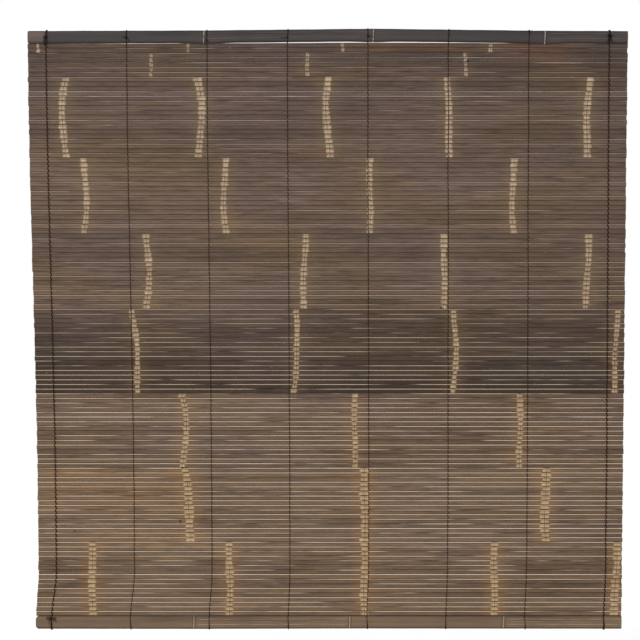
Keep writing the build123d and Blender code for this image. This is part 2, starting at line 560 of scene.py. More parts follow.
@dataclass(frozen=True)
class StainedSlat:
    """The finish of a slat: dark stain over split bamboo, thin at the culm's joints and edges, with painted
    highlight and shade along the edges.

    Attributes:
        stain: The stain's brown.
        olive: Its greener brown.
        deep: Its darkest brown, in the grain and in the painted shade between two slats.
        raw: Bare bamboo at a joint of an upper slat.
        yellowed: Bare bamboo at a joint of a lower slat.
        ring: The ring that runs through a joint, and, darkened, the painted shade between two slats at a
            joint.
        olive_bamboo: Bamboo that shows through thin stain, on the upper slats.
        warm: The same on the lower slats.
        blush: The same on a streak high up.
        edge: A rubbed upper edge on an upper slat, partly a painted highlight.
        worn: A rubbed upper edge on a lower slat, partly a painted highlight.
        scar: A beetle hole.
    """

    stain: Colour = linear(102, 84, 75)
    olive: Colour = linear(103, 84, 65)
    deep: Colour = linear(64, 51, 44)
    raw: Colour = linear(190, 166, 138)
    yellowed: Colour = linear(190, 165, 128)
    ring: Colour = linear(84, 56, 36)
    olive_bamboo: Colour = linear(124, 105, 72)
    warm: Colour = linear(140, 102, 62)
    blush: Colour = linear(116, 66, 44)
    edge: Colour = linear(172, 151, 136)
    worn: Colour = linear(214, 191, 166)
    scar: Colour = linear(24, 18, 14)

    def material(self) -> bpy.types.Material:
        """Makes the material.

        Returns:
            The material, which reads slat_number, across, culm, joints_near, joints_far and streak.
        """
        s = Shader("stained slat")
        n, v = s.number("slat_number"), s.number("across")
        tone, warmth, patch = s.numbers("culm")
        streak = s.number("streak")
        x_mm, z_mm = s.x * 1000, s.z * 1000
        joints = [*s.numbers("joints_near"), *s.numbers("joints_far")]
        away = s.least(*(abs(x_mm - joint) for joint in joints))

        own = s.noise(s.vector(n * 5.37, 0.5, 0.5), 0.0)
        along = s.noise(s.vector(x_mm / 130, n * 0.83, 3.0), 3.0, 0.6)
        broad = s.noise(s.vector(x_mm / 420, z_mm / 120, 7.0), 2.0)
        grain = s.noise(s.vector(x_mm / 38, n * 11.3, v * 3.0), 4.0, 0.65)
        fibre = s.noise(s.vector(x_mm / 9, n * 7.7, v * 16.0), 3.0, 0.7)
        hue = s.ease(s.noise(s.vector(x_mm / 300, z_mm / 110, 21.0), 2.0) - z_mm / 5000, 0.4, 0.75)
        light = 1 + (own - 0.5) * 0.6 + (along - 0.5) * 0.6 + (broad - 0.5) * 0.7
        # Painted light: brighter on the left and darker towards the right, as though the key lamp from the
        # left fell stronger there.
        light = light * s.ease(x_mm, -600, 600, 1.07, 0.92)
        stain = s.mix(hue, self.stain, self.olive)
        colour = s.mix(s.ease(grain, 0.12, 0.62), self.deep, stain)
        colour = s.shade(colour, light * tone * (0.9 + fibre * 0.22))

        # Warm bamboo through thin stain, and round each joint
        thin = s.ease(s.noise(s.vector(x_mm / 70, n * 3.1, v * 2.0), 3.0), 0.42, 0.66)
        halo = s.ease(away, 4.0, 36.0, 0.11, 0.0) * patch * (0.2 + along * 0.8)
        warm = s.clamped(warmth * thin + streak * (0.35 + thin * 0.65) + halo)
        lowness = s.ease(z_mm, -400, -850)
        bamboo = s.mix(lowness, self.olive_bamboo, self.warm)
        bamboo = s.mix(streak * s.ease(n, 30, 60, 1.0, 0.0), bamboo, self.blush)
        colour = s.mix(warm * 0.8, colour, s.shade(bamboo, (0.55 + grain * 0.75) * (0.4 + tone * 0.6)))

        # The joint: raw pale bamboo with a dark ring through it and a fainter one beside it
        ragged = away + (s.noise(s.vector(x_mm / 4, n * 9.1, v * 3.0), 2.0) - 0.5) * 7
        reach = ragged - patch * (0.35 + 1.3 * s.noise(s.vector(x_mm / 160, n * 2.7, 5.0), 1.0))
        bare = s.ease(reach, -2.0, 1.6, 1.0, 0.0)
        strength = 0.2 + 1.0 * s.noise(s.vector(x_mm / 12, n * 6.1, 13.0), 1.0)
        raw = s.mix(s.ease(z_mm, -300, -1000), self.raw, self.yellowed)
        colour = s.mix(s.clamped(bare * strength), colour, s.shade(raw, 0.74 + grain * 0.42))
        marked = s.ease(s.noise(s.vector(x_mm / 90, n * 0.19, 17.0), 1.0), 0.38, 0.52, 0.15, 1.0)
        rings = (s.ridge(away, 0.0, 1.4) + s.ridge(away, 4.4, 0.9) * 0.4) * marked
        colour = s.mix(s.clamped(rings * bare) * 0.8, colour, self.ring)

        # Worn upper edge, partly a painted highlight, with a painted shade line below it, and painted shade
        # along the lower edge
        # Where the pale upper edge shows: rubbed bamboo, and partly a painted highlight.
        wear_and_highlight = s.noise(s.vector(x_mm / 180, n * 2.3, 11.0), 3.0, 0.55) + (own - 0.5) * 0.5
        wear_and_highlight = wear_and_highlight + s.ease(z_mm, -330, -560, -0.02, 0.10)
        line = s.ease(v, 0.34, 0.42) * s.ease(wear_and_highlight, 0.46, 0.62) * (1 - bare)
        # Painted shade: a dark line below the upper edge.
        colour = s.mix(s.ridge(v, 0.22, 0.14) * 0.6, colour, self.deep)
        # Painted shade where two slats meet: along the lower edge, and at a bare joint along the upper edge
        # too.
        lower = s.ease(v, -0.26, -0.40) * (0.7 + bare * 0.25)
        upper = s.ease(v, 0.38, 0.47) * bare * 0.8
        shadow = s.mix(bare, s.shade(self.deep, 0.45), s.shade(self.ring, 0.7))
        colour = s.mix(s.clamped(lower + upper), colour, shadow)
        # The pale upper edge: rubbed bamboo, and partly a painted highlight.
        edge = s.mix(lowness, self.edge, self.worn)
        colour = s.mix(line * (0.7 + lowness * 0.22), colour, s.shade(edge, 0.75 + fibre * 0.5))

        # Scuffs, pale chips and scars
        chip = s.ease(s.noise(s.vector(x_mm / 4.5, n * 13.0, v * 4.0), 1.0), 0.735, 0.79)
        colour = s.mix(chip * 0.6, colour, self.edge)
        for place_x, place_z, radius in SCARS:
            gap = ((x_mm - place_x) ** 2 + (z_mm - place_z) ** 2) ** 0.5
            colour = s.mix(s.ease(gap, radius * 0.7, radius * 1.4, 0.95, 0.0), colour, self.scar)

        bulge = s.ease(away, 1.0, 5.0, 1.0, 0.0)
        height = bulge * 0.8 - s.ridge(away, 2.6, 1.0) * 0.5 + grain * 0.22 + fibre * 0.16
        rough = 0.55 + grain * 0.2 + bare * 0.14
        return s.finish(colour, rough, height, 0.0006, Specular_IOR_Level=0.15)


@dataclass(frozen=True)
class StainedRail:
    """The finish of a rail: one wide split of a thick culm, stained and polished.

    Attributes:
        name: The material's name.
        stain: Colour of the stain on a smooth internode.
        light: Colour where it is rubbed thin.
        line: Colour of the fine grooves.
        joints: Places along X of the joints, in metres.
        grooved: Whether each internode is grooved, from the left.
        deep: Colour of the dark lines along the edges and beside a joint's ring.
        raw: Colour of a joint's ring.
        left_end: Place along X up to which the left end is rubbed thin.
        top_line: How dark the line along the top edge is, 0 to 1.
    """

    name: str
    stain: Colour
    light: Colour
    line: Colour
    joints: tuple[float, ...]
    grooved: tuple[bool, ...]
    deep: Colour = linear(30, 24, 21)
    raw: Colour = linear(186, 168, 144)
    left_end: float = -0.7
    top_line: float = 0.3

    def material(self) -> bpy.types.Material:
        """Makes the material.

        Returns:
            The material, which reads across on the rail's points.
        """
        s = Shader(self.name)
        v = s.number("across")
        x_mm = s.x * 1000
        offsets = [x_mm - joint * 1000 for joint in self.joints]
        away = s.least(*(abs(offset) for offset in offsets))
        grain = s.noise(s.vector(x_mm / 60, v * 15.0, 2.0), 4.0, 0.62)
        fibre = s.noise(s.vector(x_mm / 14, v * 60.0, 5.0), 3.0, 0.7)
        broad = s.noise(s.vector(x_mm / 260, v * 1.6, 9.0), 2.0)
        tone = s.clamped((grain - 0.5) * 1.3 + (broad - 0.5) * 1.6 + 0.42)
        colour = s.mix(tone, self.stain, self.light)
        colour = s.shade(colour, 0.72 + fibre * 0.5)
        near = s.ease(away, 6.0, 60.0, 0.5, 0.0)
        colour = s.mix(near * broad * 1.1, colour, self.light)
        end = s.ease(x_mm, self.left_end * 1000 - 6, self.left_end * 1000 + 6, 1.0, 0.0)
        colour = s.mix(end * (0.4 + grain * 0.7), colour, s.shade(self.line, 1.05))
        colour = s.mix(s.ease(v + (broad - 0.5) * 0.5, 0.12, -0.12) * 0.35, colour, self.light)

        # Each grooved internode has a few fine lengthwise grooves that waver a little
        past_end = 700.0
        marks = (-past_end, *(joint * 1000 for joint in self.joints), past_end)
        groove = None
        for number, is_grooved in enumerate(self.grooved):
            if not is_grooved:
                continue
            low, high = marks[number], marks[number + 1]
            inside = s.ease(x_mm, low + 3, low + 16) * s.ease(x_mm, high - 16, high - 3, 1.0, 0.0)
            waver = v + (s.noise(s.vector(x_mm / 180, number * 3.0, 1.0), 1.0) - 0.5) * 0.10
            lines = s.ridge(waver, 0.27, 0.035) + s.ridge(waver, 0.06, 0.03) * 0.8
            lines = lines + s.ridge(waver, -0.13, 0.045) + s.ridge(waver, -0.30, 0.03) * 0.7
            groove = inside * lines if groove is None else groove + inside * lines
        groove = s.clamped(groove)
        worn = s.ease(s.noise(s.vector(x_mm / 45, v * 9.0, 4.0), 3.0), 0.38, 0.6)
        colour = s.mix(groove * (0.3 + worn * 0.6), colour, self.line)

        # Scuffs, and a dark line along the top edge and along the bottom edge
        scuff = s.ease(s.noise(s.vector(x_mm / 22, v * 26.0, 8.0), 2.0), 0.64, 0.74)
        colour = s.mix(scuff * 0.35, colour, self.light)
        colour = s.mix(s.ease(v, 0.38, 0.46) * self.top_line, colour, self.deep)
        colour = s.mix(s.ease(v, -0.28, -0.46) * 0.7, colour, self.deep)

        # The joint's ring, a thin pale line with a dark one beside it
        slanted = s.least(*(abs(offset - v * 1.4) for offset in offsets))
        slanted = slanted + (s.noise(s.vector(x_mm / 4, v * 5.0, 1.0), 1.0) - 0.5) * 1.6
        ring = s.ridge(slanted, 0.4, 1.3)
        colour = s.mix(s.ridge(slanted, 2.6, 1.6) * 0.6, colour, self.deep)
        colour = s.mix(ring * (0.15 + worn * 0.5), colour, self.raw)

        height = ring * 0.6 - groove * 0.8 + grain * 0.12 + fibre * 0.12
        rough = 0.44 + fibre * 0.16 + grain * 0.1
        return s.finish(colour, rough, height, 0.0006, Specular_IOR_Level=0.25)


@dataclass(frozen=True)
class TwistedCord:
    """The finish of the cords: dark brown yarn whose plies wind round it.

    Attributes:
        yarn: Colour of the yarn.
        ridge: Colour of its rubbed ridges.
        deep: Colour between two plies, a painted shade in the groove.
        turns: How many turns of the plies there are to one unit along the cord.
    """

    yarn: Colour = linear(44, 27, 16)
    ridge: Colour = linear(84, 58, 38)
    deep: Colour = linear(12, 7, 4)
    turns: float = 3.0

    def material(self) -> bpy.types.Material:
        """Makes the material, which reads lay: how far along and how far round each point is."""
        s = Shader("twisted cord")
        along, around, seed = s.numbers("lay")
        phase = (along * self.turns + around) * (2 * math.pi)
        ply = s.maths("SINE", phase) * 0.5 + 0.5
        fuzz = s.noise(s.vector(s.x * 2600, s.y * 2600, s.z * 2600), 2.0)
        patchy = s.noise(s.vector(s.x * 30, seed * 3.0, s.z * 45), 2.0)
        # Painted shade in the grooves between two plies.
        colour = s.mix(s.ease(ply, 0.1, 0.9), self.deep, self.yarn)
        colour = s.mix(s.ease(ply * fuzz, 0.35, 0.7) * 0.55, colour, self.ridge)
        colour = s.shade(colour, 0.55 + patchy * 0.9)
        return s.finish(colour, 0.9, ply * 0.8 + fuzz * 0.3, 0.0003, Specular_IOR_Level=0.1)


# ---------------------------------------------------------------------------------------------
# Tubes of cord
# ---------------------------------------------------------------------------------------------


def smooth_path(points: list[Vector], steps: int = 6) -> list[Vector]:
    """A smooth path through points.

    Args:
        points: The points.
        steps: How many steps there are from one point to the next.

    Returns:
        The path's points, the given ones among them.
    """
    padded = [2 * points[0] - points[1], *points, 2 * points[-1] - points[-2]]
    path = []
    for a, b, c, d in zip(padded, padded[1:], padded[2:], padded[3:]):
        for step in range(steps):
            t = step / steps
            slope, bend, twist = c - a, 2 * a - 5 * b + 4 * c - d, 3 * b - a - 3 * c + d
            path.append(0.5 * (2 * b + slope * t + bend * t**2 + twist * t**3))
    path.append(points[-1].copy())
    return path


@dataclass
class CordMesh:
    """Tubes of cord that are joined into one mesh.

    Attributes:
        points: Every point of the mesh.
        faces: The points of every face.
        lay: How far along and how far round its tube each point is, and a number for the tube.
        sides: How many sides a tube has.
    """

    points: list[Point] = field(default_factory=list)
    faces: list[tuple[int, ...]] = field(default_factory=list)
    lay: list[Point] = field(default_factory=list)
    sides: int = 8

    def tube(
        self, path: list[Vector], radius: float, taper: Callable[[float], float] | None = None
    ) -> None:
        """Adds a closed-ended tube.

        Args:
            path: The points that its middle follows.
            radius: Its radius.
            taper: Factor on the radius, from how far along the tube it is, 0 to 1.
        """
        start = len(self.points)
        lengths = [0.0]
        for a, b in zip(path, path[1:]):
            lengths.append(lengths[-1] + (b - a).length)
        side = None
        for number, place in enumerate(path):
            ahead = (path[min(number + 1, len(path) - 1)] - path[max(number - 1, 0)]).normalized()
            if side is None:
                side = ahead.orthogonal().normalized()
            side = (side - ahead * side.dot(ahead)).normalized()
            up = ahead.cross(side)
            share = lengths[number] / lengths[-1]
            r = radius * (taper(share) if taper else 1.0)
            for corner in range(self.sides):
                angle = 2 * math.pi * corner / self.sides
                self.points.append(tuple(place + (side * math.cos(angle) + up * math.sin(angle)) * r))
                self.lay.append((lengths[number] / (radius * 12), corner / self.sides, start * 0.01))
        for ring in range(len(path) - 1):
            for corner in range(self.sides):
                a = start + ring * self.sides + corner
                b = start + ring * self.sides + (corner + 1) % self.sides
                self.faces.append((a, b, b + self.sides, a + self.sides))
        last = start + (len(path) - 1) * self.sides
        self.faces.append(tuple(range(start, start + self.sides))[::-1])
        self.faces.append(tuple(range(last, last + self.sides)))

    def finished(self, name: str, material: bpy.types.Material) -> bpy.types.Object:
        """Makes the object.

        Args:
            name: Its name.
            material: Its material.

        Returns:
            The object.
        """
        mesh = bpy.data.meshes.new(name)
        mesh.from_pydata(self.points, [], self.faces)
        mesh.shade_smooth()
        store(mesh, "lay", np.array(self.lay))
        mesh.materials.append(material)
        return linked(name, mesh)


# ---------------------------------------------------------------------------------------------
# The blind's sub-assemblies
# ---------------------------------------------------------------------------------------------


@dataclass
class SlatField:
    """The woven field: every slat and the stitches of cord that hold it.

    Attributes:
        count: How many slats there are.
        cut_height: Height that a slat has in the CAD frame.
        height: Height that it has here, which closes the gap to the next one.
        thickness: Its thickness.
        pitch: From one slat to the next.
        lines: How many lines of cord there are.
        spacing: From one line to the next.
        strand: Width of one strand of an inner line.
        edge_ratio: How much wider the two outer lines are.
        wave: How far a slat bends out of line between two cords.
        play: How far a slat has slid along in the cords' grip.
        trim: How far its two ends are off their line.
        warp: How far it is twisted, front to back.
        belly: How far it bends to the front or back between two cords.
        sway: How far a line of cord wanders on its way down.
        left_inset: How far the left ends step in at most.
        top_bow: How far the uppermost slat bows up with the head rail.
        crest: Place along X of that bow's highest point.
        segments: Steps along a slat's length.
        seed: Seed of everything random.
    """

    count: int = 122
    cut_height: float = 8.6 * MM
    height: float = 9.6 * MM
    thickness: float = 1.8 * MM
    pitch: float = 9.5 * MM
    lines: int = 8
    spacing: float = 161 * MM
    strand: float = 1.35 * MM
    edge_ratio: float = 1.6
    wave: float = 0.40 * MM
    play: float = 0.4 * MM
    trim: float = 0.6 * MM
    warp: float = 0.6 * MM
    belly: float = 0.3 * MM
    sway: float = 2.2 * MM
    left_inset: float = 11 * MM
    top_bow: float = 2.0 * MM
    crest: float = 91 * MM
    segments: int = 48
    seed: int = 11

    def lift(self, recipe: Recipe, x: Value, z: Value) -> Value:
        """How far the uppermost slats bow up with the head rail.

        Args:
            recipe: The tree that is being made.
            x: Place along X.
            z: Height.

        Returns:
            The lift, in metres.
        """
        bow = recipe.ease(abs(x - self.crest), 0.0, 0.5, self.top_bow, 0.0)
        return bow * recipe.ease(z, -0.15, -0.02)

    def inset(self, recipe: Recipe, x: Value, z: Value, right: float, foot: float) -> Value:
        """How far the blind's left part steps in and out again on the way down.

        Args:
            recipe: The tree that is being made.
            x: Place along X.
            z: Height.
            right: Share of the step that is left from the middle on.
            foot: Share of it that is left at the foot.

        Returns:
            The step, in metres.
        """
        step = recipe.ease(z, -0.05, -0.95) * recipe.ease(z, -1.195, -1.09, foot, 1.0)
        step = step * recipe.given("Left Inset")
        return step * recipe.ease(x, -0.6, 0.0, 1.0, right)

    def slat_recipe(self) -> Recipe:
        """The tree that makes a group of slats.

        Returns:
            The tree. It stores slat_number and across on the points.
        """
        lengths = ("Top", "Length", "Height", "Thickness", "Pitch", "Cord Spacing", "Wave", "Left Inset")
        inputs = {"Slats": "Int", "First": "Int", "Segments": "Int", "Seed": "Int", "Finish": "Material"}
        r = Recipe("slats", inputs | {label: "Float" for label in lengths})
        length, height, thick = r.given("Length"), r.given("Height"), r.given("Thickness")
        pitch, wave, spacing = r.given("Pitch"), r.given("Wave"), r.given("Cord Spacing")

        # One slat: a flat strip with rounded edges
        ends = {"Start": r.vector(length * -0.5, 0.0, 0.0), "End": r.vector(length * 0.5, 0.0, 0.0)}
        line = r.add("GeometryNodeCurvePrimitiveLine", None, ends).outputs[0]
        steps = {"Curve": line, "Count": r.given("Segments") + 1}
        line = r.add("GeometryNodeResampleCurve", None, steps).outputs[0]
        ring = r.add("GeometryNodeCurvePrimitiveCircle", None, {"Resolution": 12, "Radius": 1.0}).outputs[0]
        tube = {"Curve": line, "Profile Curve": ring, "Fill Caps": True}
        slat = r.add("GeometryNodeCurveToMesh", None, tube).outputs[0]
        x, y, z = r.place()
        flat_y = r.maths("SIGN", y) * (abs(y) ** 0.45)
        flat_z = r.maths("SIGN", z) * (abs(z) ** 0.55)
        slat = r.put(slat, r.vector(x, flat_y * thick * 0.5, flat_z * height * 0.5))
        _, _, z = r.place()
        slat = r.keep(slat, "across", z / height)

        # A row of them, each with its own number
        start = r.vector(0.0, 0.0, r.given("Top") - height * 0.5)
        row = r.row(r.given("Slats"), start, r.vector(0.0, 0.0, -pitch))
        row = r.keep(row, "slat_number", r.index() + r.given("First"))
        field_of_slats = r.at_points(row, slat)

        # Each one bends, twists and ends a little differently, least where a cord grips it
        x, _, z = r.place()
        n, v = r.stored("slat_number"), r.stored("across")
        seed = r.given("Seed") * 3.7
        free = abs(r.maths("COSINE", (x / spacing) * math.pi)) * 0.65 + 0.35
        bend = r.noise(r.vector(x * 5.5, n * 3.17, seed), 1.0) - 0.5
        taper = r.noise(r.vector(x * 2.2, n * 5.91, seed + 9.0), 1.0) - 0.5
        twist = r.noise(r.vector(x * 3.1, n * 7.43, seed + 5.0), 1.0) - 0.5
        bow = r.noise(r.vector(x * 4.0, n * 2.71, seed + 2.0), 1.0) - 0.5
        reach = r.random(-1.0, 1.0, n, r.given("Seed"))
        trim = r.random(-1.0, 1.0, n, r.given("Seed") + 1)
        near_end = r.ease(abs(x), 0.5, 0.6)
        inset = self.inset(r, x, z, 0.0, 0.45) - r.ease(x, -0.6, 0.0, 0.4 * MM, 0.0)
        shift_x = (reach * self.play + trim * r.maths("SIGN", x) * self.trim) * near_end + inset
        shift_y = v * twist * self.warp + bow * self.belly * free
        # Most slats touch the next one, and a few are narrow and leave a gap
        short = 0.35 - r.random(0.0, 1.0, n, r.given("Seed") + 2) ** 5 * 1.8
        shift_z = bend * wave * free + v * (taper * 1.2 + short) * wave + self.lift(r, x, z)
        r.close(r.move(field_of_slats, r.vector(shift_x, shift_y, shift_z)))
        return r

    def stitch_recipe(self) -> Recipe:
        """The tree that makes a group's stitches: on each slat and line one strand passes in
        front and one behind, and the two change places in the gap.

        Returns:
            The tree. It stores lay on the points.
        """
        lengths = ("Top", "Height", "Thickness", "Pitch", "Spacing", "Strand", "Edge Ratio", "Left Inset")
        inputs = {"Slats": "Int", "Lines": "Int", "Seed": "Int", "Finish": "Material"}
        r = Recipe("stitches", inputs | {label: "Float" for label in lengths})
        pitch, strand, lines = r.given("Pitch"), r.given("Strand"), r.given("Lines")
        line = r.add("GeometryNodeCurvePrimitiveLine", None, {"End": (0.0, 0.0, 1.0)}).outputs[0]
        line = r.add("GeometryNodeResampleCurve", None, {"Curve": line, "Count": 9}).outputs[0]
        _, _, t = r.place()
        # u runs from -1 in the gap above to 1 in the gap below, closer together near the gaps
        u = r.maths("SINE", (t * 2 - 1) * (math.pi / 2))
        depth = r.given("Thickness") * 0.5 + strand * 0.34
        across = r.maths("SINE", u * (math.pi / 2)) * strand * 0.5
        forward = (1 - abs(u) ** 5) * depth * -1
        line = r.put(line, r.vector(across, forward, u * pitch * -0.5))
        _, _, z = r.place()
        narrow = 1 - (abs(z / (pitch * 0.5)) ** 6) * 0.45
        along = r.add("GeometryNodeCaptureAttribute", {"domain": "POINT"}, {0: line})
        along.capture_items.new("FLOAT", "Along")
        r.tree.links.new(r.add("GeometryNodeSplineParameter").outputs[0], along.inputs["Along"])
        ring = r.add("GeometryNodeCurvePrimitiveCircle", None, {"Resolution": 6, "Radius": 1.0}).outputs[0]
        around = r.add("GeometryNodeCaptureAttribute", {"domain": "POINT"}, {0: ring})
        around.capture_items.new("FLOAT", "Around")
        r.tree.links.new(r.add("GeometryNodeSplineParameter").outputs[0], around.inputs["Around"])
        tube = {"Curve": along.outputs[0], "Profile Curve": around.outputs[0]}
        tube["Scale"] = narrow * strand * 0.54
        stitch = r.add("GeometryNodeCurveToMesh", None, tube).outputs[0]
        stitch = r.keep(stitch, "along", Value(r, along.outputs["Along"]))
        stitch = r.keep(stitch, "around", Value(r, around.outputs["Around"]))
        half_turn = {"Geometry": stitch, "Rotation": (0.0, 0.0, math.pi)}
        behind = r.add("GeometryNodeTransform", None, half_turn).outputs[0]
        both = r.add("GeometryNodeJoinGeometry")
        r.tree.links.new(stitch, both.inputs[0])
        r.tree.links.new(behind, both.inputs[0])

        # Every line on every slat of the group
        first_line = r.vector((lines - 1) * r.given("Spacing") * -0.5, 0.0, 0.0)
        columns = r.row(lines, first_line, r.vector(r.given("Spacing"), 0.0, 0.0))
        number = r.index()
        outer = r.maths("COMPARE", number, 0.0, 0.1) + r.maths("COMPARE", number, lines - 1, 0.1)
        columns = r.keep(columns, "outer", outer)
        columns = r.keep(columns, "line", number)
        start = r.vector(0.0, 0.0, r.given("Top") - r.given("Height") * 0.5)
        rows = r.row(r.given("Slats"), start, r.vector(0.0, 0.0, -pitch))
        crossings = r.at_points(rows, columns)
        ratio = r.stored("outer") * (r.given("Edge Ratio") - 1) + 1
        size = r.vector(ratio, r.stored("outer") * 0.18 + 1, 1.0)
        stitches = r.at_points(crossings, both.outputs[0], size)

        # Each line wanders a little on its way down
        x, _, z = r.place()
        seed = r.given("Seed") * 1.9
        lift = self.lift(r, x, z)
        wander = r.noise(r.vector(z * 14, r.stored("line") * 4.1, seed), 2.0) - 0.5
        sideways = wander * self.sway + self.inset(r, x, z, 0.3, 0.0)
        stitches = r.move(stitches, r.vector(sideways, 0.0, lift))
        lay = r.vector(r.stored("along"), r.stored("around"), r.stored("line"))
        stitches = r.keep(stitches, "lay", lay, "FLOAT_VECTOR")
        r.close(stitches)
        return r

    def dress(self, mesh: bpy.types.Mesh) -> None:
        """Stores on each point what its slat's culm gives it.

        Args:
            mesh: The mesh of a group of slats.
        """
        number = np.rint(numbers_of(mesh, "slat_number")).astype(int)
        x_mm = points_of(mesh)[:, 0] * 1000
        culm = np.zeros((len(number), 3))
        nowhere = 9000.0  # a joint that is too far away to show
        joints = np.full((len(number), 6), nowhere)
        streak = np.zeros(len(number))
        for slat in np.unique(number):
            own = number == slat
            order = max(k for k, c in enumerate(CULMS) if c.first <= slat)
            c = CULMS[order]
            after = CULMS[order + 1].first if order + 1 < len(CULMS) else self.count
            share = (slat - c.first) / max(after - 1 - c.first, 1)
            culm[own] = (c.tone + c.fall * (0.5 - share), c.warmth, c.patch)
            for k, joint in enumerate(c.joints):
                jitter = 1.3 * math.sin(slat * 12.9898 + k * 78.233)
                joints[own, k] = joint.at(share) + jitter
            for s in STREAKS:
                if s.slats[0] <= slat <= s.slats[1]:
                    inside = np.minimum(x_mm[own] - s.span[0], s.span[1] - x_mm[own])
                    fade = np.clip(inside / 40 + 0.5 + 0.5 * math.sin(slat * 5.1), 0, 1)
                    streak[own] = np.maximum(streak[own], s.strength * fade)
        store(mesh, "culm", culm)
        store(mesh, "joints_near", joints[:, :3])
        store(mesh, "joints_far", joints[:, 3:])
        store(mesh, "streak", streak)

    def build(self, slat_finish: bpy.types.Material, cord_finish: bpy.types.Material) -> None:
        """Makes every group's slats and stitches, each riding on its own body.

        Args:
            slat_finish: The slats' material.
            cord_finish: The cords' material.
        """
        slats, stitches = self.slat_recipe(), self.stitch_recipe()
        shared = {"Thickness": self.thickness, "Pitch": self.pitch, "Seed": self.seed}
        first = 0
        for node in slat_nodes():
            low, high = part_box(node)
            count = round((high.z - low.z + self.pitch - self.cut_height) / self.pitch)
            group = shared | {"Slats": count, "Left Inset": self.left_inset}
            sizes = {"First": first, "Length": high.x - low.x, "Segments": self.segments}
            sizes |= {"Height": self.height, "Top": high.z + (self.height - self.cut_height) / 2}
            sizes |= {"Cord Spacing": self.spacing, "Wave": self.wave, "Finish": slat_finish}
            piece = slats.make(f"{node}_bamboo", group | sizes)
            self.dress(piece.data)
            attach(piece, node)
            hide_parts(node)
            sizes = {"Lines": self.lines, "Spacing": self.spacing, "Strand": self.strand}
            sizes |= {"Height": self.cut_height, "Top": high.z}
            sizes |= {"Edge Ratio": self.edge_ratio, "Finish": cord_finish}
            cords = stitches.make(f"{node}_stitches", group | sizes)
            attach(cords, node)
            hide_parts("edge_cords", "inner_cords_left", "inner_cords_right")
            LOG.info("%s: %d slats from number %d", node, count, first)
            first += count


